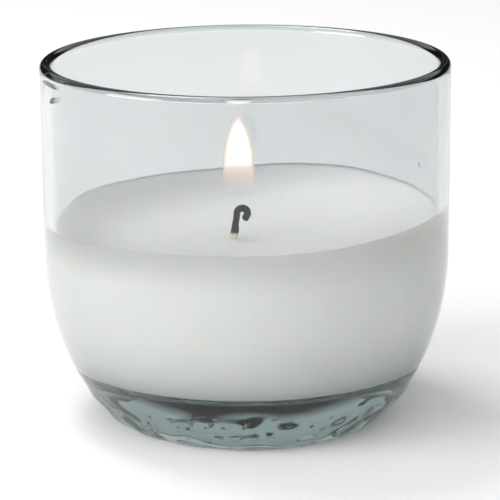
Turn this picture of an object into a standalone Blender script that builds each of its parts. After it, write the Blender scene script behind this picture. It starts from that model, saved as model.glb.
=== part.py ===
"""Wax-filled glass candle: a clear round cup with a poured candle in it.

Units are metres and +Z is up. The cup's axis is the Z axis, and its foot ring stands on z = 0.
The wick is a little off the axis, on a steel sustainer that is glued to the floor of the cup.
Every neighbouring pair of pieces keeps the small clearance GAP.
"""

import math

import bpy
from mathutils import Vector

# Cup
CUP_RADIUS = 0.035
CUP_HEIGHT = 0.0622
WALL = 0.0021
SHOULDER_Z = 0.0296  # the outer wall is straight above this height
SHOULDER_PULL = 0.017  # how far the wall's tangent carries the outer curve down
FOOT_RADIUS = 0.0233
FOOT_PULL = 0.0035
FOOT_SLOPE = math.radians(25.4)  # rise of the outer curve where it leaves the foot
RECESS_RADIUS = 0.0185
RECESS_DEPTH = 0.0008
RECESS_FLARE = 0.0006
CAVITY_SHOULDER_Z = 0.028
CAVITY_PULL = 0.013
FLOOR_Z = 0.0096
FLOOR_RADIUS = 0.0175
FLOOR_PULL = 0.0095

# Candle
GAP = 0.0003
WICK_X = -0.0023
WICK_Y = -0.0030
WAX_LOW_Z = 0.0313  # wax surface at the wick
WAX_DISH_DEPTH = 0.0045  # rise of the wax surface over one cavity radius
WAX_TILT_RIGHT = math.radians(0.8)  # the wax set a little higher on the +X side
WAX_TILT_FRONT = math.radians(1.4)  # and on the -Y side
WICK_RADIUS = 0.0006
WICK_ROOT = 0.0015  # the wick is straight up to this depth below the wax surface
LEAN_X = 0.00054  # the wick's centreline above the wax, from its axis and from the wax surface
LEAN_Z = 0.0032
CURL_RADIUS = 0.00093
CURL_X = 0.00168
CURL_Z = 0.0046
CURL_ANGLE = -45  # the curl's round part ends here, in degrees
TIP_X = 0.00197
TIP_Z = 0.0034

# Sustainer, adhesive and label
ADHESIVE_RADIUS = 0.005
ADHESIVE_HEIGHT = 0.0008
DISC_RADIUS = 0.0095
SHEET = 0.00035
NECK_HEIGHT = 0.005
LABEL_RADIUS = 0.0172
LABEL_THICKNESS = 0.0002

# Mesh
CUP_SEGMENTS = 72
SMALL_SEGMENTS = 24
CURVE_STEPS = 12
OUTER_STEPS = 14
RIM_STEPS = 10
DISH_STEPS = 16
EDGE_STEPS = 6
FILLET_STEPS = 4
MERGE = 0.00001

CUP_MIDDLE_WALL_RADIUS = CUP_RADIUS - WALL / 2
CAVITY_RADIUS = CUP_RADIUS - WALL
WICK_AXIS = Vector((WICK_X, WICK_Y, 0))
ADHESIVE_Z = FLOOR_Z + GAP
DISC_Z = ADHESIVE_Z + ADHESIVE_HEIGHT + GAP
NECK_RADIUS = WICK_RADIUS + GAP + SHEET


def clear_scene():
    for obj in list(bpy.data.objects):
        bpy.data.objects.remove(obj)


def new_collection(name):
    collection = bpy.data.collections.new(name)
    bpy.context.scene.collection.children.link(collection)
    return collection


def material(name, color, roughness, metallic=0.0, transmission=0.0, ior=1.5):
    made = bpy.data.materials.new(name)
    made.use_nodes = True
    shader = made.node_tree.nodes["Principled BSDF"]
    shader.inputs["Base Color"].default_value = (*color, 1.0)
    shader.inputs["Roughness"].default_value = roughness
    shader.inputs["Metallic"].default_value = metallic
    shader.inputs["Transmission Weight"].default_value = transmission
    shader.inputs["IOR"].default_value = ior
    return made


def arc(centre_r, centre_z, radius, start, end, steps):
    """Points (r, z) on an arc, from the angle start to the angle end in degrees."""
    points = []
    for i in range(steps + 1):
        angle = math.radians(start + (end - start) * i / steps)
        points.append((centre_r + radius * math.cos(angle), centre_z + radius * math.sin(angle)))
    return points


def bezier(p0, p1, p2, p3, steps):
    """Points (r, z) on a cubic curve, both ends included."""
    points = []
    for i in range(steps + 1):
        t = i / steps
        weights = ((1 - t) ** 3, 3 * t * (1 - t) ** 2, 3 * t * t * (1 - t), t**3)
        points.append(tuple(sum(w * p[axis] for w, p in zip(weights, (p0, p1, p2, p3))) for axis in (0, 1)))
    return points


def offset(points, distance):
    """The profile moved sideways by a distance, to the left of the way it runs."""
    moved = []
    for i, (r, z) in enumerate(points):
        before = Vector(points[max(i - 1, 0)])
        after = Vector(points[min(i + 1, len(points) - 1)])
        along = (after - before).normalized()
        moved.append((max(r - along.y * distance, 0.0), z + along.x * distance))
    return moved


def turned(name, profile, segments, collection, ring=False):
    """A profile of (r, z) points turned about Z. A ring's profile closes on itself off the axis."""
    count = len(profile)
    edges = [(i, i + 1) for i in range(count - 1)]
    if ring:
        edges.append((count - 1, 0))
    mesh = bpy.data.meshes.new(name)
    mesh.from_pydata([(r, 0, z) for r, z in profile], edges, [])
    obj = bpy.data.objects.new(name, mesh)
    collection.objects.link(obj)
    screw = obj.modifiers.new("turn", "SCREW")
    screw.steps = segments
    screw.render_steps = segments
    screw.use_merge_vertices = True
    screw.merge_threshold = MERGE
    return obj


def cut(obj, cutter):
    boolean = obj.modifiers.new(cutter.name, "BOOLEAN")
    boolean.operation = "DIFFERENCE"
    boolean.object = cutter
    cutter.hide_render = True
    cutter.display_type = "WIRE"


def cavity_profile():
    """The inside of the cup, from the centre of its floor out and up to the start of the rim."""
    curve = bezier(
        (FLOOR_RADIUS, FLOOR_Z),
        (FLOOR_RADIUS + FLOOR_PULL, FLOOR_Z),
        (CAVITY_RADIUS, CAVITY_SHOULDER_Z - CAVITY_PULL),
        (CAVITY_RADIUS, CAVITY_SHOULDER_Z),
        CURVE_STEPS,
    )
    return [(0.0, FLOOR_Z), *curve]


def outer_profile():
    """The outside of the cup, from the shoulder down to the edge of the foot."""
    return bezier(
        (CUP_RADIUS, SHOULDER_Z),
        (CUP_RADIUS, SHOULDER_Z - SHOULDER_PULL),
        (
            FOOT_RADIUS + FOOT_PULL * math.cos(FOOT_SLOPE),
            FOOT_PULL * math.sin(FOOT_SLOPE),
        ),
        (FOOT_RADIUS, 0.0),
        OUTER_STEPS,
    )


def glass_cup(collection):
    rim_z = CUP_HEIGHT - WALL / 2
    rim = arc(CUP_MIDDLE_WALL_RADIUS, rim_z, WALL / 2, 180, 0, RIM_STEPS)
    recess = [
        (RECESS_RADIUS + RECESS_FLARE, 0.0),
        (RECESS_RADIUS, RECESS_DEPTH),
        (0.0, RECESS_DEPTH),
    ]
    profile = [*cavity_profile(), *rim, *outer_profile(), *recess]
    cup = turned("glass_cup", profile, CUP_SEGMENTS, collection)
    cup.data.materials.append(material("glass", (0.86, 0.93, 0.92), 0.03, transmission=1.0, ior=1.52))
    return cup


def wax_dish(cutters):
    """The space above the wax: a shallow bowl about the wick, open upwards."""
    reach = 2 * CAVITY_RADIUS
    bowl = []
    for i in range(DISH_STEPS, 0, -1):
        r = reach * i / DISH_STEPS
        bowl.append((r, WAX_DISH_DEPTH * (r / CAVITY_RADIUS) ** 2))
    top = bowl[0][1] + CUP_HEIGHT
    dish = turned("wax_dish_cutter", [(0.0, top), (reach, top), *bowl, (0.0, 0.0)], CUP_SEGMENTS, cutters)
    dish.location = (WICK_X, WICK_Y, WAX_LOW_Z)
    dish.rotation_euler = (-WAX_TILT_FRONT, -WAX_TILT_RIGHT, 0.0)
    return dish


def wick_bore(cutters):
    """The space inside the wax for the adhesive, the sustainer and the wick."""
    adhesive_top = ADHESIVE_Z + ADHESIVE_HEIGHT
    disc_top = DISC_Z + SHEET + GAP
    neck_top = DISC_Z + NECK_HEIGHT + GAP
    above = CUP_HEIGHT
    profile = [
        (0.0, above),
        (WICK_RADIUS + GAP, above),
        (WICK_RADIUS + GAP, neck_top),
        (NECK_RADIUS + GAP, neck_top),
        (NECK_RADIUS + GAP, disc_top),
        (DISC_RADIUS + GAP, disc_top),
        (DISC_RADIUS + GAP, adhesive_top),
        (ADHESIVE_RADIUS + GAP, adhesive_top),
        (ADHESIVE_RADIUS + GAP, 0.0),
        (0.0, 0.0),
    ]
    bore = turned("wick_bore_cutter", profile, SMALL_SEGMENTS, cutters)
    bore.location = WICK_AXIS
    return bore


def wax_fill(collection, cutters):
    side = offset(cavity_profile(), GAP)
    block_top = CUP_HEIGHT - WALL
    side_radius = side[-1][0]
    profile = [(0.0, block_top), (side_radius, block_top), *reversed(side)]
    wax = turned("wax_fill", profile, CUP_SEGMENTS, collection)
    wax.data.materials.append(material("wax", (0.93, 0.93, 0.90), 0.4))
    cut(wax, wax_dish(cutters))
    cut(wax, wick_bore(cutters))
    return wax


def wick(collection):
    """A straight braid that leans over above the wax and ends in a small curl."""
    base = WAX_LOW_Z
    root = base - WICK_ROOT
    points = [(0.0, DISC_Z), (0.0, (DISC_Z + root) / 2), (0.0, root), (LEAN_X, base + LEAN_Z)]
    points += [(r, base + z) for r, z in arc(CURL_X, CURL_Z, CURL_RADIUS, 180, CURL_ANGLE, EDGE_STEPS)]
    points.append((TIP_X, base + TIP_Z))
    data = bpy.data.curves.new("wick", "CURVE")
    data.dimensions = "3D"
    data.bevel_depth = WICK_RADIUS
    data.bevel_resolution = 2
    data.resolution_u = 4
    data.use_fill_caps = True
    spline = data.splines.new("BEZIER")
    spline.bezier_points.add(len(points) - 1)
    for point, (x, z) in zip(spline.bezier_points, points):
        point.co = (x, 0.0, z)
        point.handle_left_type = "AUTO"
        point.handle_right_type = "AUTO"
    obj = bpy.data.objects.new("wick", data)
    collection.objects.link(obj)
    obj.location = WICK_AXIS
    data.materials.append(material("charred_cotton", (0.05, 0.045, 0.04), 0.95))
    return obj


def wick_sustainer(collection):
    """A thin steel disc drawn up into a neck round the wick."""
    inside = WICK_RADIUS + GAP
    top = DISC_Z + NECK_HEIGHT
    fillet = arc(NECK_RADIUS + 2 * SHEET, DISC_Z + 3 * SHEET, 2 * SHEET, 180, 270, FILLET_STEPS)
    profile = [
        (inside, top),
        (NECK_RADIUS, top),
        *fillet,
        (DISC_RADIUS, DISC_Z + SHEET),
        (DISC_RADIUS, DISC_Z),
        (inside, DISC_Z),
    ]
    sustainer = turned("wick_sustainer", profile, SMALL_SEGMENTS, collection, ring=True)
    sustainer.location = WICK_AXIS
    sustainer.data.materials.append(material("tinned_steel", (0.72, 0.73, 0.74), 0.35, metallic=0.9))
    return sustainer


def wick_adhesive(collection):
    """A flattened dab with a rounded edge."""
    half = ADHESIVE_HEIGHT / 2
    edge = arc(ADHESIVE_RADIUS - half, ADHESIVE_Z + half, half, 90, -90, EDGE_STEPS)
    profile = [(0.0, ADHESIVE_Z + ADHESIVE_HEIGHT), *edge, (0.0, ADHESIVE_Z)]
    dab = turned("wick_adhesive", profile, SMALL_SEGMENTS, collection)
    dab.location = WICK_AXIS
    dab.data.materials.append(material("adhesive", (0.85, 0.83, 0.76), 0.45))
    return dab


def base_label(collection):
    top = RECESS_DEPTH - GAP
    bottom = top - LABEL_THICKNESS
    profile = [(0.0, top), (LABEL_RADIUS, top), (LABEL_RADIUS, bottom), (0.0, bottom)]
    label = turned("base_label", profile, CUP_SEGMENTS, collection)
    label.data.materials.append(material("label_paper", (0.88, 0.88, 0.86), 0.85))
    return label


def main():
    clear_scene()
    parts = new_collection("glass_candle")
    cutters = new_collection("cutters")
    glass_cup(parts)
    wax_fill(parts, cutters)
    wick(parts)
    wick_sustainer(parts)
    wick_adhesive(parts)
    base_label(parts)


main()
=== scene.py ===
"""Looks for the wax-filled glass candle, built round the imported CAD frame. Units are metres, +Z up."""

import math
import random

import bmesh
import bpy
from mathutils import Matrix, Vector, noise


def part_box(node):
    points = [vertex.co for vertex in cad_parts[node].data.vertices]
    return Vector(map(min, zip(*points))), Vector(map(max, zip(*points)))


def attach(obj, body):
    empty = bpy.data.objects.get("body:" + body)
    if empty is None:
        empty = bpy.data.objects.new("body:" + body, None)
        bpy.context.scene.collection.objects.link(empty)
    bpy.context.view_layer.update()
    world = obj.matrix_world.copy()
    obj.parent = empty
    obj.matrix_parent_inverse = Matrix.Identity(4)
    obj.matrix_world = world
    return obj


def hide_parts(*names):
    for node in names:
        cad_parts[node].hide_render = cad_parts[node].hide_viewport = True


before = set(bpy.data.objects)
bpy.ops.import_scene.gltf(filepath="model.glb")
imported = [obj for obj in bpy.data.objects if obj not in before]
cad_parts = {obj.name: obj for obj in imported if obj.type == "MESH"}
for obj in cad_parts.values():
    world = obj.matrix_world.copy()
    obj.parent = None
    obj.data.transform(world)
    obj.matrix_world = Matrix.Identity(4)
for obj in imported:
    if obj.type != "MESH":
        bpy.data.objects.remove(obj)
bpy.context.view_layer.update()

# ---- Places and sizes from the frame ----
_, CUP_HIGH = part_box("glass_cup")
WICK_LOW, WICK_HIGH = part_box("wick")
SUSTAINER_LOW, SUSTAINER_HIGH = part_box("wick_sustainer")
ADHESIVE_LOW, ADHESIVE_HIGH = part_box("wick_adhesive")
LABEL_LOW, LABEL_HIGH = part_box("base_label")

CUP_RADIUS = CUP_HIGH.x
CUP_HEIGHT = CUP_HIGH.z
WICK_X = (SUSTAINER_LOW.x + SUSTAINER_HIGH.x) / 2
WICK_Y = (SUSTAINER_LOW.y + SUSTAINER_HIGH.y) / 2
WICK_RADIUS = (WICK_HIGH.y - WICK_LOW.y) / 2

# ---- Cup profile, as in the CAD ----
SHOULDER_Z = 0.0296
SHOULDER_PULL = 0.017
FOOT_RADIUS = 0.0233
FOOT_PULL = 0.0035
FOOT_SLOPE = math.radians(25.4)
RECESS_RADIUS = 0.0185
RECESS_DEPTH = 0.0008
RECESS_FLARE = 0.0006
WALL = 0.0021
CAVITY_SHOULDER_Z = 0.028
CAVITY_PULL = 0.013
FLOOR_Z = 0.0096
FLOOR_RADIUS = 0.0175
FLOOR_PULL = 0.0095
GAP = 0.0003
CONTACT = 0.00005  # wax overlaps the glass this much, so that no film of air shows between them
FILM = 0.00012  # air under the wax, where it has shrunk away from the thick base
FILM_TOP_Z = 0.0110
FILM_FADE = 0.0006
CAVITY_RADIUS = CUP_RADIUS - WALL

# ---- Wax surface, as in the CAD ----
WAX_LOW_Z = 0.0313
WAX_DISH_DEPTH = 0.0045
WAX_TILT_RIGHT = math.radians(0.8)
WAX_TILT_FRONT = math.radians(1.4)

# ---- Wick, as in the CAD ----
WICK_ROOT = 0.0015
LEAN_X = 0.00054
LEAN_Z = 0.0032
CURL_RADIUS = 0.00093
CURL_X = 0.00168
CURL_Z = 0.0046
CURL_ANGLE = -45
TIP_X = 0.00197
TIP_Z = 0.0034


# ---- Node helpers ----
def new_material(name):
    """A material with an empty node tree and its output node."""
    made = bpy.data.materials.new(name)
    made.use_nodes = True
    tree = made.node_tree
    tree.nodes.clear()
    output = tree.nodes.new("ShaderNodeOutputMaterial")
    return made, tree, output


def node(tree, kind, **settings):
    """A node with attributes set by name, and sockets set by a dict called sockets."""
    made = tree.nodes.new("ShaderNode" + kind)
    for socket, value in settings.pop("sockets", {}).items():
        made.inputs[socket].default_value = value
    for attribute, value in settings.items():
        setattr(made, attribute, value)
    return made


def ramp(tree, source, stops):
    """A colour ramp fed by source, with stops (position, colour)."""
    made = tree.nodes.new("ShaderNodeValToRGB")
    elements = made.color_ramp.elements
    while len(elements) < len(stops):
        elements.new(0.5)
    for element, (position, color) in zip(elements, stops):
        element.position = position
        element.color = (*color, 1.0)
    tree.links.new(source, made.inputs["Fac"])
    return made.outputs["Color"]


def math_node(tree, operation, first, second):
    """A Math node. first and second are each an output socket or a number."""
    made = tree.nodes.new("ShaderNodeMath")
    made.operation = operation
    for i, value in enumerate((first, second)):
        if isinstance(value, (int, float)):
            made.inputs[i].default_value = value
        else:
            tree.links.new(value, made.inputs[i])
    return made.outputs[0]


def object_axes(tree):
    """The piece's own coordinates, and each of them apart."""
    place = tree.nodes.new("ShaderNodeTexCoord").outputs["Object"]
    split = tree.nodes.new("ShaderNodeSeparateXYZ")
    tree.links.new(place, split.inputs[0])
    return place, split.outputs["X"], split.outputs["Y"], split.outputs["Z"]


def noise_node(tree, place, scale, detail=2.0, roughness=0.5):
    """Noise at place, from 0 to 1."""
    made = node(tree, "TexNoise", sockets={"Scale": scale, "Detail": detail, "Roughness": roughness})
    tree.links.new(place, made.inputs["Vector"])
    return made.outputs["Fac"]


def bump(tree, height, shader, strength, distance):
    """Fine relief on shader, from a height socket."""
    made = node(tree, "Bump", sockets={"Strength": strength, "Distance": distance})
    tree.links.new(height, made.inputs["Height"])
    tree.links.new(made.outputs["Normal"], shader.inputs["Normal"])


def smoothstep(low, high, value):
    """A soft step from 0 at low to 1 at high, where low may be the larger of the two."""
    t = min(max((value - low) / (high - low), 0.0), 1.0)
    return t * t * (3 - 2 * t)


# ---- Profiles ----
def arc(centre_r, centre_z, radius, start, end, steps):
    """Points on an arc, both ends included. Angles are in degrees."""
    points = []
    for i in range(steps + 1):
        angle = math.radians(start + (end - start) * i / steps)
        points.append((centre_r + radius * math.cos(angle), centre_z + radius * math.sin(angle)))
    return points


def bezier(p0, p1, p2, p3, steps):
    """Points on a cubic curve, both ends included."""
    points = []
    for i in range(steps + 1):
        t = i / steps
        weights = ((1 - t) ** 3, 3 * t * (1 - t) ** 2, 3 * t * t * (1 - t), t**3)
        points.append(tuple(sum(w * p[axis] for w, p in zip(weights, (p0, p1, p2, p3))) for axis in (0, 1)))
    return points


def straight(start, end, steps):
    """Points between two ends, both left out."""
    return [tuple(a + (b - a) * i / steps for a, b in zip(start, end)) for i in range(1, steps)]


def cavity_curve(steps):
    """The inner face, from the floor of the cavity up to where the wall is straight."""
    return bezier(
        (FLOOR_RADIUS, FLOOR_Z),
        (FLOOR_RADIUS + FLOOR_PULL, FLOOR_Z),
        (CAVITY_RADIUS, CAVITY_SHOULDER_Z - CAVITY_PULL),
        (CAVITY_RADIUS, CAVITY_SHOULDER_Z),
        steps,
    )


def outer_curve(steps):
    """The outer face, from the shoulder down to the foot."""
    return bezier(
        (CUP_RADIUS, SHOULDER_Z),
        (CUP_RADIUS, SHOULDER_Z - SHOULDER_PULL),
        (
            FOOT_RADIUS + FOOT_PULL * math.cos(FOOT_SLOPE),
            FOOT_PULL * math.sin(FOOT_SLOPE),
        ),
        (FOOT_RADIUS, 0.0),
        steps,
    )


def loft(name, loops, closed=False):
    """A mesh through loops of points. A one-point loop is a pole, and closed joins the last to the first."""
    mesh = bpy.data.meshes.new(name)
    shape = bmesh.new()
    rings = [[shape.verts.new(point) for point in loop] for loop in loops]
    pairs = list(zip(rings, rings[1:]))
    if closed:
        pairs.append((rings[-1], rings[0]))
    for upper, lower in pairs:
        count = max(len(upper), len(lower))
        for i in range(count):
            j = (i + 1) % count
            corners = [
                upper[i % len(upper)],
                lower[i % len(lower)],
                lower[j % len(lower)],
                upper[j % len(upper)],
            ]
            shape.faces.new(list(dict.fromkeys(corners)))
    bmesh.ops.recalc_face_normals(shape, faces=shape.faces[:])
    shape.to_mesh(mesh)
    shape.free()
    mesh.shade_smooth()
    obj = bpy.data.objects.new(name, mesh)
    bpy.context.scene.collection.objects.link(obj)
    return obj


def ring(radius, z, count):
    """A level loop round the axis, or the axis itself at radius 0."""
    if radius <= 0:
        return [(0.0, 0.0, z)]
    return [
        (radius * math.cos(math.tau * i / count), radius * math.sin(math.tau * i / count), z)
        for i in range(count)
    ]


# ---- Glass cup ----
GLASS_SEGMENTS = 192
FLOOR_STEPS = 6
CAVITY_STEPS = 48
WALL_STEPS = 24
RIM_STEPS = 28
OUTER_STEPS = 60
# faint blue-green of the glass, greyed as painted shade that stands in for a dimmer backdrop seen through
# the walls
GLASS_TINT_AND_PAINTED_SHADE = (0.81, 0.825, 0.835)
RIM_PAINTED_SHADE = (0.32, 0.40, 0.40)  # painted shade: a darker tint along the rim that deepens the dark line round the top
RIM_SHADE_FROM = 0.0011  # below the top of the cup
RIM_SHADE_TO = 0.0004
GLASS_ABSORPTION = (0.52, 0.625, 0.62)  # colour left of white light after one absorption length
GLASS_DENSITY = 43.0
RIPPLE_TURN = 90.0  # how closely the wide ripples follow each other round the cup
RIPPLE_RISE = 25.0  # and up it
RIPPLE_DEPTH = 0.00006
BASE_RIPPLE_Z = 0.0085
BASE_RIPPLE_SCALE = 240.0
BASE_RIPPLE_DEPTH = 0.00058
RIPPLE_FADE = 0.0015
FOOT_FADE = 0.0006
# Marks in the wall: turn about the cup in degrees, distance from the axis, height, size, and stretch out,
# round and up with a lean in degrees.
MARKS = (
    (-167.5, 0.0340, 0.0592, 0.00020, (1.0, 1.4, 9.0, 0.0)),
    (-160.0, 0.0337, 0.0600, 0.00018, (1.0, 24.0, 1.4, 0.0)),
    (-156.5, 0.0339, 0.0578, 0.00045, (0.9, 3.6, 1.1, 20.0)),
    (-35.0, 0.0340, 0.0478, 0.00012, (1.0, 1.0, 4.0, 10.0)),
)
BASE_BUBBLES = 70
BUBBLE_SEED = 11
BUBBLE_RADII = (0.0120, 0.0222)
BUBBLE_HEIGHTS = (0.0026, 0.0072)
BUBBLE_SIZES = (0.00012, 0.00034)
BUBBLE_STRETCHES = (1.0, 2.2)
BUBBLE_FLATTENED = 0.8
BUBBLE_SIDES = 20
BUBBLE_RINGS = 12


def glass_material():
    """Clear, faintly blue-green glass. Its colour is also greyed all over as painted shade for a dimmer
    backdrop, and darker painted shade runs along the rim.
    """
    made, tree, output = new_material("glass")
    shader = node(
        tree,
        "BsdfPrincipled",
        sockets={"Roughness": 0.0, "IOR": 1.52, "Transmission Weight": 1.0},
    )
    absorption = node(
        tree,
        "VolumeAbsorption",
        sockets={"Color": (*GLASS_ABSORPTION, 1.0), "Density": GLASS_DENSITY},
    )
    _, _, _, z = object_axes(tree)
    # the colour runs from the glass's tint up to painted shade along the top of the rim
    above = math_node(tree, "SUBTRACT", z, CUP_HEIGHT - RIM_SHADE_FROM)
    share = math_node(tree, "DIVIDE", above, RIM_SHADE_FROM - RIM_SHADE_TO)
    tint = ramp(tree, share, ((0.0, GLASS_TINT_AND_PAINTED_SHADE), (1.0, RIM_PAINTED_SHADE)))
    tree.links.new(tint, shader.inputs["Base Color"])
    tree.links.new(shader.outputs["BSDF"], output.inputs["Surface"])
    tree.links.new(absorption.outputs["Volume"], output.inputs["Volume"])
    return made


def glass_loops():
    """Rings from the middle of the cavity's floor up, over the rim and down to the middle of the base."""
    rim_z = CUP_HEIGHT - WALL / 2
    inside = [(0.0, FLOOR_Z), *straight((0.0, FLOOR_Z), (FLOOR_RADIUS, FLOOR_Z), FLOOR_STEPS)]
    inside += cavity_curve(CAVITY_STEPS)
    inside += straight((CAVITY_RADIUS, CAVITY_SHOULDER_Z), (CAVITY_RADIUS, rim_z), WALL_STEPS)
    inside += arc(CUP_RADIUS - WALL / 2, rim_z, WALL / 2, 180, 0, RIM_STEPS)
    outside = straight((CUP_RADIUS, rim_z), (CUP_RADIUS, SHOULDER_Z), WALL_STEPS)
    outside += outer_curve(OUTER_STEPS)
    recess = [(RECESS_RADIUS + RECESS_FLARE, 0.0), (RECESS_RADIUS, RECESS_DEPTH)]
    recess += straight((RECESS_RADIUS, RECESS_DEPTH), (0.0, RECESS_DEPTH), FLOOR_STEPS)
    recess.append((0.0, RECESS_DEPTH))
    loops = [ring(r, z, GLASS_SEGMENTS) for r, z in inside]
    loops += [rippled(r, z) for r, z in outside]
    loops += [ring(r, z, GLASS_SEGMENTS) for r, z in recess]
    return loops


def rippled(r, z):
    """A ring of the outer face with soft ripples, as pressed and fire-polished glass has."""
    fade = smoothstep(CUP_HEIGHT - WALL / 2, CUP_HEIGHT - WALL / 2 - RIPPLE_FADE, z)
    low = smoothstep(BASE_RIPPLE_Z, BASE_RIPPLE_Z / 2, z) * smoothstep(0.0, FOOT_FADE, z)
    loop = []
    for x, y, _ in ring(r, z, GLASS_SEGMENTS):
        broad = Vector((x * RIPPLE_TURN, y * RIPPLE_TURN, z * RIPPLE_RISE))
        wide = noise.noise(broad) * RIPPLE_DEPTH * fade
        fine = noise.noise(Vector((x, y, z)) * BASE_RIPPLE_SCALE) * BASE_RIPPLE_DEPTH * low
        grow = 1 + (wide + fine) / r
        loop.append((x * grow, y * grow, z))
    return loop


def bubble(shape, turn, radius, z, size, stretch):
    """An air bubble inside the glass: a small closed shell that faces inwards."""
    angle = math.radians(turn)
    place = Matrix.Translation((radius * math.cos(angle), radius * math.sin(angle), z))
    grow = Matrix.Diagonal((size * stretch[0], size * stretch[1], size * stretch[2], 1.0))
    lean = Matrix.Rotation(math.radians(stretch[3]), 4, "X")
    matrix = place @ Matrix.Rotation(angle, 4, "Z") @ lean @ grow
    made = bmesh.ops.create_uvsphere(
        shape, u_segments=BUBBLE_SIDES, v_segments=BUBBLE_RINGS, radius=1.0, matrix=matrix
    )
    faces = list({face for vert in made["verts"] for face in vert.link_faces})
    bmesh.ops.reverse_faces(shape, faces=faces)


def bubbles(shape):
    """The marks in the wall, and small bubbles scattered through the base."""
    for mark in MARKS:
        bubble(shape, *mark)
    scatter = random.Random(BUBBLE_SEED)
    for _ in range(BASE_BUBBLES):
        turn = scatter.uniform(-180, 180)
        radius = scatter.uniform(*BUBBLE_RADII)
        z = scatter.uniform(*BUBBLE_HEIGHTS)
        size = scatter.uniform(*BUBBLE_SIZES)
        stretch = (1.0, scatter.uniform(*BUBBLE_STRETCHES), BUBBLE_FLATTENED, 0.0)
        bubble(shape, turn, radius, z, size, stretch)


def glass_cup():
    """The cup. The bubbles are built first, since adding them to the large mesh is slow."""
    cup = loft("glass_body", glass_loops())
    shape = bmesh.new()
    bubbles(shape)
    shape.from_mesh(cup.data)
    shape.to_mesh(cup.data)
    shape.free()
    cup.data.shade_smooth()
    cup.data.materials.append(glass_material())
    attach(cup, "root")
    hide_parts("glass_cup")


# ---- Wax ----
WAX_SEGMENTS = 160
WAX_RINGS = 80
WAX_RING_SPREAD = 1.25  # above 1, the rings lie closer together at the wick
WAX_SIDE_STEPS = 60
BORE_SHARE = 0.9  # the wax grips the wick, so its hole is a little narrower
DISC_ROOM = 0.00065  # room over the sustainer's disc, from its underside
NECK_ROOM = 0.00095  # room round the sustainer's neck, from the wick
MELT_ROUGHNESS = 0.30
SET_ROUGHNESS = 0.42
WICK_CLIMB = 0.0003  # wax drawn up at the wick
WICK_CLIMB_REACH = 0.0007
RISE_WIDTH = 0.0022  # wax drawn up at the glass
RISE_HEIGHT = 0.0004
WAVE_SCALE = 90.0
WAVE_HEIGHT = 0.00018
WAVE_LAYER = 0.3  # the level at which the waves cut through the noise
CALM_REACH = 0.006  # the waves fade out towards the wick over this distance
EDGE_WAVES = 4  # crests round the edge, where the wax set unevenly on the glass
EDGE_WAVE_HEIGHT = 0.0003
EDGE_WAVE_FROM = 0.25  # share of the cavity radius where the crests begin
EDGE_WAVE_PEAK = math.radians(-117)


def wax_material():
    """Paraffin: milky, a little glossier where it has melted round the wick, faintly frosted elsewhere."""
    made, tree, output = new_material("wax")
    place, x, y, _ = object_axes(tree)
    shader = node(
        tree,
        "BsdfPrincipled",
        sockets={
            "Subsurface Weight": 0.75,
            "Subsurface Scale": 0.004,
            "Specular IOR Level": 0.45,
        },
    )
    shader.inputs["Subsurface Radius"].default_value = (1.0, 0.85, 0.7)
    mottle = noise_node(tree, place, 120.0, 3.0)
    tint = ramp(tree, mottle, ((0.3, (0.945, 0.93, 0.895)), (0.7, (0.97, 0.955, 0.92))))
    tree.links.new(tint, shader.inputs["Base Color"])
    dx = math_node(tree, "SUBTRACT", x, WICK_X)
    dy = math_node(tree, "SUBTRACT", y, WICK_Y)
    squares = math_node(
        tree, "ADD", math_node(tree, "MULTIPLY", dx, dx), math_node(tree, "MULTIPLY", dy, dy)
    )
    away = math_node(tree, "SQRT", squares, 0.0)
    melt = ramp(
        tree,
        math_node(tree, "DIVIDE", away, CUP_RADIUS),
        ((0.10, (MELT_ROUGHNESS,) * 3), (0.45, (SET_ROUGHNESS,) * 3)),
    )
    tree.links.new(melt, shader.inputs["Roughness"])
    bump(tree, noise_node(tree, place, 600.0, 4.0), shader, 0.25, 0.00012)
    tree.links.new(shader.outputs["BSDF"], output.inputs["Surface"])
    return made


def wax_top(x, y):
    """Height of the wax surface: a shallow tilted bowl, drawn up at the wick and at the glass."""
    away = math.hypot(x - WICK_X, y - WICK_Y)
    bowl = WAX_DISH_DEPTH * (away / CAVITY_RADIUS) ** 2
    climb = WICK_CLIMB * math.exp(-(max(away - WICK_RADIUS, 0.0) / WICK_CLIMB_REACH))
    edge = max(math.hypot(x, y) - CAVITY_RADIUS + RISE_WIDTH, 0.0) / RISE_WIDTH
    waves = noise.noise(Vector((x * WAVE_SCALE, y * WAVE_SCALE, WAVE_LAYER))) * WAVE_HEIGHT
    calm = smoothstep(0.0, CALM_REACH, away)
    level = WAX_LOW_Z + (x - WICK_X) * math.tan(WAX_TILT_RIGHT) - (y - WICK_Y) * math.tan(WAX_TILT_FRONT)
    swell = EDGE_WAVE_HEIGHT * math.cos(EDGE_WAVES * (math.atan2(y, x) - EDGE_WAVE_PEAK))
    swell *= smoothstep(EDGE_WAVE_FROM, 1.0, math.hypot(x, y) / CAVITY_RADIUS)
    return level + bowl + climb + RISE_HEIGHT * edge**2 + waves * calm + swell


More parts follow.
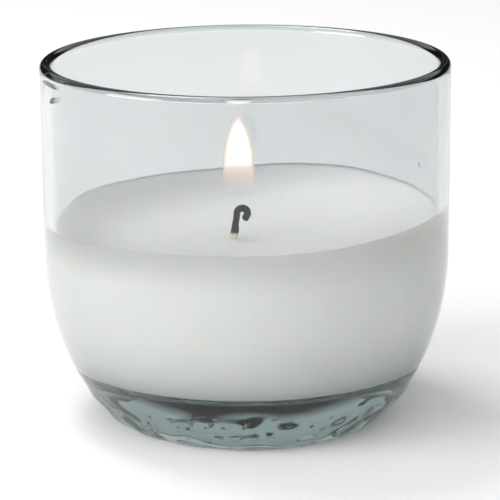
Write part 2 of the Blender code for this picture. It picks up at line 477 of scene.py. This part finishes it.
def wax_fill():
    """The wax, from its surface down the cup, under it, and up round the sustainer and the wick."""
    side = CAVITY_RADIUS + CONTACT
    bore = WICK_RADIUS * BORE_SHARE
    angles = [math.tau * i / WAX_SEGMENTS for i in range(WAX_SEGMENTS)]
    loops = []
    for i in range(WAX_RINGS + 1):
        u = (i / WAX_RINGS) ** WAX_RING_SPREAD
        loop = []
        for a in angles:
            x = (WICK_X + bore * math.cos(a)) * (1 - u) + side * math.cos(a) * u
            y = (WICK_Y + bore * math.sin(a)) * (1 - u) + side * math.sin(a) * u
            loop.append((x, y, wax_top(x, y)))
        loops.append(loop)
    for r, z in reversed(cavity_curve(WAX_SIDE_STEPS)):
        reach = CONTACT - (CONTACT + FILM) * smoothstep(FILM_TOP_Z, FILM_TOP_Z - FILM_FADE, z)
        loops.append([((r + reach) * math.cos(a), (r + reach) * math.sin(a), z - reach) for a in angles])
    bottom = FLOOR_Z + FILM
    glue_r = (ADHESIVE_HIGH.x - ADHESIVE_LOW.x) / 2 + GAP
    disc_r = (SUSTAINER_HIGH.x - SUSTAINER_LOW.x) / 2 + GAP
    neck_r = WICK_RADIUS + NECK_ROOM
    steps_in = [
        (glue_r, bottom),
        (glue_r, ADHESIVE_HIGH.z),
        (disc_r, ADHESIVE_HIGH.z),
        (disc_r, SUSTAINER_LOW.z + DISC_ROOM),
        (neck_r, SUSTAINER_LOW.z + DISC_ROOM),
        (neck_r, SUSTAINER_HIGH.z + GAP),
        (bore, SUSTAINER_HIGH.z + GAP),
    ]
    for r, z in steps_in:
        loops.append([(WICK_X + r * math.cos(a), WICK_Y + r * math.sin(a), z) for a in angles])
    wax = loft("wax_body", loops, closed=True)
    wax.data.materials.append(wax_material())
    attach(wax, "root")
    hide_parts("wax_fill")


# ---- Wick ----
WICK_SIDES = 32
WICK_STEP = 0.00007  # spacing of the rings along the wick
CURL_STEPS = 6
PATH_STEPS = 60  # points per stretch of the centreline, before they are spaced evenly
BRAID_PITCH = 0.0021
BRAID_STRANDS = 3
BRAID_DEPTH = 0.17
BRAID_MIDDLE = 0.75  # the braid's relief is measured from here
TIP_RINGS = 5  # rings over which the tip is rounded off
RAGGED_SCALE = 900
RAGGED_DEPTH = 0.10
RAGGED_LAYER = 0.5
SWELL = 0.16  # the wick is thicker where it stands in the wax
SWELL_FULL = 0.0010  # height above the wax
SWELL_ENDS = 0.0030
CHAR_FROM = 0.0014  # height above the wax where charring starts
CHAR_TO = 0.0020
CHAR_RAGGED = 0.0009


def wick_points():
    """The wick's centreline in its own plane, from the sustainer to the tip, as (x, z) from its axis."""
    root = WAX_LOW_Z - WICK_ROOT
    points = [(0.0, SUSTAINER_LOW.z), (0.0, (SUSTAINER_LOW.z + root) / 2), (0.0, root)]
    points.append((LEAN_X, WAX_LOW_Z + LEAN_Z))
    curl = arc(CURL_X, CURL_Z, CURL_RADIUS, 180, CURL_ANGLE, CURL_STEPS)
    points += [(x, WAX_LOW_Z + z) for x, z in curl]
    points.append((TIP_X, WAX_LOW_Z + TIP_Z))
    return [Vector(p) for p in points]


def smooth_path(points, spacing):
    """Evenly spaced points on a curve through all the points."""
    dense = []
    for i in range(len(points) - 1):
        p0, p1, p2, p3 = (points[min(max(i + k, 0), len(points) - 1)] for k in (-1, 0, 1, 2))
        reach = (p2 - p1).length
        m1 = (p2 - p0).normalized() * reach
        m2 = (p3 - p1).normalized() * reach
        for k in range(PATH_STEPS):
            t = k / PATH_STEPS
            dense.append(
                p1 * (2 * t**3 - 3 * t**2 + 1)
                + m1 * (t**3 - 2 * t**2 + t)
                + p2 * (3 * t**2 - 2 * t**3)
                + m2 * (t**3 - t**2)
            )
    dense.append(points[-1])
    even, left = [dense[0]], spacing
    for start, end in zip(dense, dense[1:]):
        length = (end - start).length
        while length and left <= length:
            even.append(start.lerp(end, left / length))
            left += spacing
        left -= length
    return even


def wick_material():
    """Cream cotton at the wax, charred black above it."""
    made, tree, output = new_material("wick_cotton")
    place, _, _, z = object_axes(tree)
    shader = node(tree, "BsdfPrincipled", sockets={"Roughness": 0.9, "Specular IOR Level": 0.15})
    ragged = math_node(tree, "MULTIPLY", noise_node(tree, place, 2500.0, 3.0), CHAR_RAGGED)
    height = math_node(tree, "ADD", math_node(tree, "SUBTRACT", z, WAX_LOW_Z), ragged)
    share = math_node(tree, "DIVIDE", math_node(tree, "SUBTRACT", height, CHAR_FROM), CHAR_TO - CHAR_FROM)
    char = ramp(
        tree,
        share,
        (
            (0.0, (0.80, 0.74, 0.60)),
            (0.35, (0.50, 0.30, 0.14)),
            (0.62, (0.06, 0.035, 0.022)),
            (1.0, (0.004, 0.004, 0.004)),
        ),
    )
    fibres = noise_node(tree, place, 9000.0, 4.0, 0.7)
    grain = ramp(tree, fibres, ((0.3, (0.6, 0.6, 0.6)), (0.75, (1.5, 1.5, 1.5))))
    mix = node(tree, "Mix", data_type="RGBA", blend_type="MULTIPLY")
    mix.inputs["Factor"].default_value = 1.0
    tree.links.new(char, mix.inputs["A"])
    tree.links.new(grain, mix.inputs["B"])
    tree.links.new(mix.outputs["Result"], shader.inputs["Base Color"])
    bump(tree, fibres, shader, 0.8, 0.00006)
    tree.links.new(shader.outputs["BSDF"], output.inputs["Surface"])
    return made


def wick():
    """The braid, with its strands as relief."""
    path = smooth_path(wick_points(), WICK_STEP)
    last = len(path) - 1
    loops = [[(WICK_X + path[0].x, WICK_Y, path[0].y)]]
    for i, point in enumerate(path):
        along = (path[min(i + 1, last)] - path[max(i - 1, 0)]).normalized()
        side = Vector((along.y, -along.x))
        run = i * WICK_STEP
        into_tip = max(i - last + TIP_RINGS, 0) / (TIP_RINGS + 1)
        taper = math.sqrt(1 - into_tip**2)
        ragged = 1 + RAGGED_DEPTH * noise.noise(Vector((run * RAGGED_SCALE, RAGGED_LAYER, RAGGED_LAYER)))
        swollen = 1 + SWELL * smoothstep(WAX_LOW_Z + SWELL_ENDS, WAX_LOW_Z + SWELL_FULL, point.y)
        loop = []
        for k in range(WICK_SIDES):
            angle = math.tau * k / WICK_SIDES
            twist = math.tau * run / BRAID_PITCH
            over = abs(math.sin((BRAID_STRANDS * angle + twist) / 2))
            under = abs(math.sin((BRAID_STRANDS * angle - twist) / 2))
            strand = max(over, under) - BRAID_MIDDLE
            radius = WICK_RADIUS * (1 + BRAID_DEPTH * strand) * taper * ragged * swollen
            flat = side * math.cos(angle) * radius
            loop.append((WICK_X + point.x + flat.x, WICK_Y + math.sin(angle) * radius, point.y + flat.y))
        loops.append(loop)
    end = path[-1] + (path[-1] - path[-2])
    loops.append([(WICK_X + end.x, WICK_Y, end.y)])
    obj = loft("wick_braid", loops)
    obj.data.materials.append(wick_material())
    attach(obj, "root")
    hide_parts("wick")


# ---- Flame ----
FLAME_X = WICK_X + 0.00105
FLAME_LOW_Z = WAX_LOW_Z + 0.0080
FLAME_HIGH_Z = WAX_LOW_Z + 0.0226
FLAME_RADIUS = 0.0028
FLAME_WIDEST = 0.35  # share of the flame's height where it is widest
FLAME_FOOT = 0.10  # how much narrower the foot is than the widest place
FLAME_TAPER = 0.82
FLAME_RINGS = 60
FLAME_SIDES = 40
# Share of the full width, share of the height where the shell ends, strength, colour, and cover by height.
# Three shells keep a ray under the limit on transparent crossings.
FLAME_SHELLS = (
    (
        *(1.00, 1.00, 1.05, (1.0, 0.73, 0.53)),
        ((0.0, 0.0), (0.14, 0.06), (0.30, 0.30), (0.80, 0.18), (1.0, 0.0)),
    ),
    (
        *(0.91, 0.96, 1.4, (1.0, 0.88, 0.77)),
        ((0.05, 0.0), (0.22, 0.08), (0.36, 0.38), (0.80, 0.30), (1.0, 0.02)),
    ),
    (
        *(0.80, 0.91, 2.2, (1.0, 0.98, 0.95)),
        ((0.36, 0.0), (0.46, 0.80), (0.75, 0.60), (1.0, 0.05)),
    ),
)


def flame_width(share):
    """Half width of the flame at a share of its height, as a share of its widest."""
    if share < FLAME_WIDEST:
        return 1 - FLAME_FOOT * ((FLAME_WIDEST - share) / FLAME_WIDEST) ** 2
    above = (share - FLAME_WIDEST) / (1 - FLAME_WIDEST)
    return (1 - above**2) ** FLAME_TAPER


def flame_material(name, low_z, high_z, strength, color, cover):
    """A glow that covers what is behind it by a share that changes with height."""
    made, tree, output = new_material(name)
    _, _, _, z = object_axes(tree)
    share = math_node(tree, "DIVIDE", math_node(tree, "SUBTRACT", z, low_z), high_z - low_z)
    amount = ramp(tree, share, tuple((at, (value,) * 3) for at, value in cover))
    glow = node(tree, "Emission", sockets={"Color": (*color, 1.0), "Strength": strength})
    clear = node(tree, "BsdfTransparent")
    mix = tree.nodes.new("ShaderNodeMixShader")
    tree.links.new(amount, mix.inputs["Fac"])
    tree.links.new(clear.outputs[0], mix.inputs[1])
    tree.links.new(glow.outputs[0], mix.inputs[2])
    tree.links.new(mix.outputs[0], output.inputs["Surface"])
    return made


def flame():
    """Nested glowing shells, whitest inside."""
    for index, (width, stop, strength, color, cover) in enumerate(FLAME_SHELLS):
        high_z = FLAME_LOW_Z + stop * (FLAME_HIGH_Z - FLAME_LOW_Z)
        loops = [[(FLAME_X, WICK_Y, FLAME_LOW_Z)]]
        for i in range(FLAME_RINGS):
            share = i / FLAME_RINGS
            z = FLAME_LOW_Z + (high_z - FLAME_LOW_Z) * share
            radius = FLAME_RADIUS * width * flame_width(share)
            loops.append([(FLAME_X + x, WICK_Y + y, z) for x, y, _ in ring(radius, 0.0, FLAME_SIDES)])
        loops.append([(FLAME_X, WICK_Y, high_z)])
        name = f"flame_{index}"
        shell = loft(name, loops)
        shell.data.materials.append(flame_material(name, FLAME_LOW_Z, high_z, strength, color, cover))
        shell.visible_shadow = False
        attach(shell, "root")


# ---- Pieces under the wax and the base ----
def steel_material():
    """Tinned sheet, with a faint spangle."""
    made, tree, output = new_material("tinned_steel")
    place, _, _, _ = object_axes(tree)
    shader = node(tree, "BsdfPrincipled", sockets={"Metallic": 1.0, "Roughness": 0.35})
    spangle = noise_node(tree, place, 900.0, 2.0)
    tint = ramp(tree, spangle, ((0.35, (0.60, 0.61, 0.62)), (0.65, (0.78, 0.79, 0.80))))
    gloss = ramp(tree, spangle, ((0.3, (0.28,) * 3), (0.7, (0.45,) * 3)))
    tree.links.new(tint, shader.inputs["Base Color"])
    tree.links.new(gloss, shader.inputs["Roughness"])
    bump(tree, noise_node(tree, place, 4000.0, 2.0), shader, 0.2, 0.00003)
    tree.links.new(shader.outputs["BSDF"], output.inputs["Surface"])
    return made


def adhesive_material():
    """Cloudy hot-melt adhesive."""
    made, tree, output = new_material("adhesive")
    place, _, _, _ = object_axes(tree)
    shader = node(tree, "BsdfPrincipled", sockets={"Roughness": 0.35, "Subsurface Weight": 0.3})
    shader.inputs["Subsurface Scale"].default_value = 0.001
    cloud = noise_node(tree, place, 500.0, 3.0)
    tint = ramp(tree, cloud, ((0.3, (0.80, 0.77, 0.68)), (0.7, (0.89, 0.87, 0.81))))
    tree.links.new(tint, shader.inputs["Base Color"])
    bump(tree, cloud, shader, 0.4, 0.0001)
    tree.links.new(shader.outputs["BSDF"], output.inputs["Surface"])
    return made


def repaint(name, material):
    """A new material on a node that keeps its CAD mesh."""
    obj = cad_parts[name]
    obj.data.materials.clear()
    obj.data.materials.append(material)


LABEL_RINGS = 70
LABEL_SEGMENTS = 160
LABEL_TOUCH = 0.00004
LABEL_LIFT = 0.00010
LABEL_PATCH = 230.0
LABEL_LAYER = 4.2  # the level at which the patches cut through the noise
LABEL_PEELED = -0.32  # noise below this is clear of the glass
LABEL_STUCK = -0.22  # and above this touches it


def label_material():
    """Blank paper, mottled from dark blue-grey through grey-green to white."""
    made, tree, output = new_material("label_paper")
    place, _, _, _ = object_axes(tree)
    shader = node(tree, "BsdfPrincipled", sockets={"Roughness": 0.8})
    cloud = noise_node(tree, place, 260.0, 5.0, 0.65)
    tint = ramp(
        tree,
        cloud,
        (
            (0.30, (0.10, 0.12, 0.20)),
            (0.42, (0.62, 0.66, 0.58)),
            (0.58, (0.80, 0.84, 0.74)),
            (0.70, (0.93, 0.93, 0.93)),
        ),
    )
    tree.links.new(tint, shader.inputs["Base Color"])
    bump(tree, noise_node(tree, place, 3000.0, 3.0), shader, 0.4, 0.00004)
    tree.links.new(shader.outputs["BSDF"], output.inputs["Surface"])
    return made


def base_label():
    """The label clings to the glass in patches, which is where it shows from above."""
    outer = LABEL_HIGH.x
    loops = [[(0.0, 0.0, RECESS_DEPTH + LABEL_TOUCH)]]
    for i in range(1, LABEL_RINGS + 1):
        loop = []
        for x, y, _ in ring(outer * i / LABEL_RINGS, 0.0, LABEL_SEGMENTS):
            patch = noise.noise(Vector((x * LABEL_PATCH, y * LABEL_PATCH, LABEL_LAYER)))
            touch = smoothstep(LABEL_PEELED, LABEL_STUCK, patch)
            loop.append((x, y, RECESS_DEPTH + LABEL_TOUCH * touch - LABEL_LIFT * (1 - touch)))
        loops.append(loop)
    loops.append(ring(outer, LABEL_LOW.z, LABEL_SEGMENTS))
    loops.append([(0.0, 0.0, LABEL_LOW.z)])
    label = loft("label_body", loops)
    label.data.materials.append(label_material())
    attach(label, "root")
    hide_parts("base_label")


# ---- Stage ----
FLOOR_SIZE = 6.0
FLOOR_DROP = 0.00005  # keeps the foot ring's flat face out of the floor's own plane
# Brightness of the studio by the sine of the height above the horizon, for its front and its back half.
WORLD_STRENGTH = 6.6
FRONT_ENDS = -0.54  # direction Y, where the front half starts to give way to the back half
BACK_STARTS = -0.12
FRONT_STOPS = (
    (0.0, (1.0, 0.995, 0.985)),
    (0.14, (1.0, 0.995, 0.985)),
    (0.20, (0.005,) * 3),
    (0.46, (0.005,) * 3),
    (0.56, (0.205,) * 3),
    (1.0, (0.205,) * 3),
)
BACK_STOPS = (
    (0.0, (0.004,) * 3),
    (0.29, (0.004,) * 3),
    (0.36, (0.140,) * 3),
    (0.60, (0.100,) * 3),
    (1.0, (0.040,) * 3),
)


def stage():
    """The white floor and the studio round it."""
    bpy.ops.mesh.primitive_plane_add(size=FLOOR_SIZE, location=(0, 0, -FLOOR_DROP))
    floor = bpy.context.object
    floor.name = "floor"
    made, tree, output = new_material("floor")
    shader = node(tree, "BsdfPrincipled", sockets={"Base Color": (0.95, 0.95, 0.95, 1), "Roughness": 0.8})
    tree.links.new(shader.outputs["BSDF"], output.inputs["Surface"])
    floor.data.materials.append(made)

    world = bpy.data.worlds.new("studio")
    bpy.context.scene.world = world
    world.use_nodes = True
    tree = world.node_tree
    background = tree.nodes["Background"]
    background.inputs["Strength"].default_value = WORLD_STRENGTH
    direction = tree.nodes.new("ShaderNodeTexCoord").outputs["Generated"]
    split = tree.nodes.new("ShaderNodeSeparateXYZ")
    tree.links.new(direction, split.inputs[0])
    front = ramp(tree, split.outputs["Z"], FRONT_STOPS)
    back = ramp(tree, split.outputs["Z"], BACK_STOPS)
    past_front = math_node(tree, "SUBTRACT", split.outputs["Y"], FRONT_ENDS)
    side = math_node(tree, "DIVIDE", past_front, BACK_STARTS - FRONT_ENDS)
    side = ramp(tree, side, ((0.0, (0.0,) * 3), (1.0, (1.0,) * 3)))
    mix = node(tree, "Mix", data_type="RGBA")
    tree.links.new(side, mix.inputs["Factor"])
    tree.links.new(front, mix.inputs["A"])
    tree.links.new(back, mix.inputs["B"])
    tree.links.new(mix.outputs["Result"], background.inputs["Color"])


def softbox(name, location, target, size_x, size_y, power, color=(1, 1, 1)):
    """A rectangular lamp at location that faces target."""
    data = bpy.data.lights.new(name, "AREA")
    data.shape = "RECTANGLE"
    data.size = size_x
    data.size_y = size_y
    data.energy = power
    data.color = color
    obj = bpy.data.objects.new(name, data)
    bpy.context.scene.collection.objects.link(obj)
    obj.location = location
    obj.rotation_euler = (Vector(target) - Vector(location)).to_track_quat("-Z", "Y").to_euler()


# ---- Camera ----
CAMERA_DISTANCE = 0.4127
CAMERA_HEIGHT = 0.1373
CAMERA_PITCH = 0.258
CAMERA_ROLL = math.radians(0.45)
CAMERA_LENS = 177.0
CAMERA_SENSOR = 36.0
CAMERA_SHIFT = 0.0068


def camera():
    """The camera in front of the cup, looking slightly down."""
    data = bpy.data.cameras.new("camera")
    data.lens = CAMERA_LENS
    data.sensor_width = CAMERA_SENSOR
    data.shift_x = CAMERA_SHIFT
    data.clip_start = 0.01
    obj = bpy.data.objects.new("camera", data)
    bpy.context.scene.collection.objects.link(obj)
    obj.matrix_world = (
        Matrix.Translation((0.0, -CAMERA_DISTANCE, CAMERA_HEIGHT))
        @ Matrix.Rotation(math.pi / 2 - CAMERA_PITCH, 4, "X")
        @ Matrix.Rotation(-CAMERA_ROLL, 4, "Z")
    )
    bpy.context.scene.camera = obj


camera()
stage()
softbox("key", (-0.22, 0.23, 0.8), (0, 0, 0.03), 0.30, 0.30, 2.5)
softbox("left", (-0.75, -0.35, 0.30), (0, 0, 0.03), 0.5, 0.6, 5.8, (1.0, 0.99, 0.97))
glass_cup()
wax_fill()
wick()
flame()
base_label()
repaint("wick_sustainer", steel_material())
repaint("wick_adhesive", adhesive_material())
bpy.context.scene.view_settings.view_transform = "Standard"
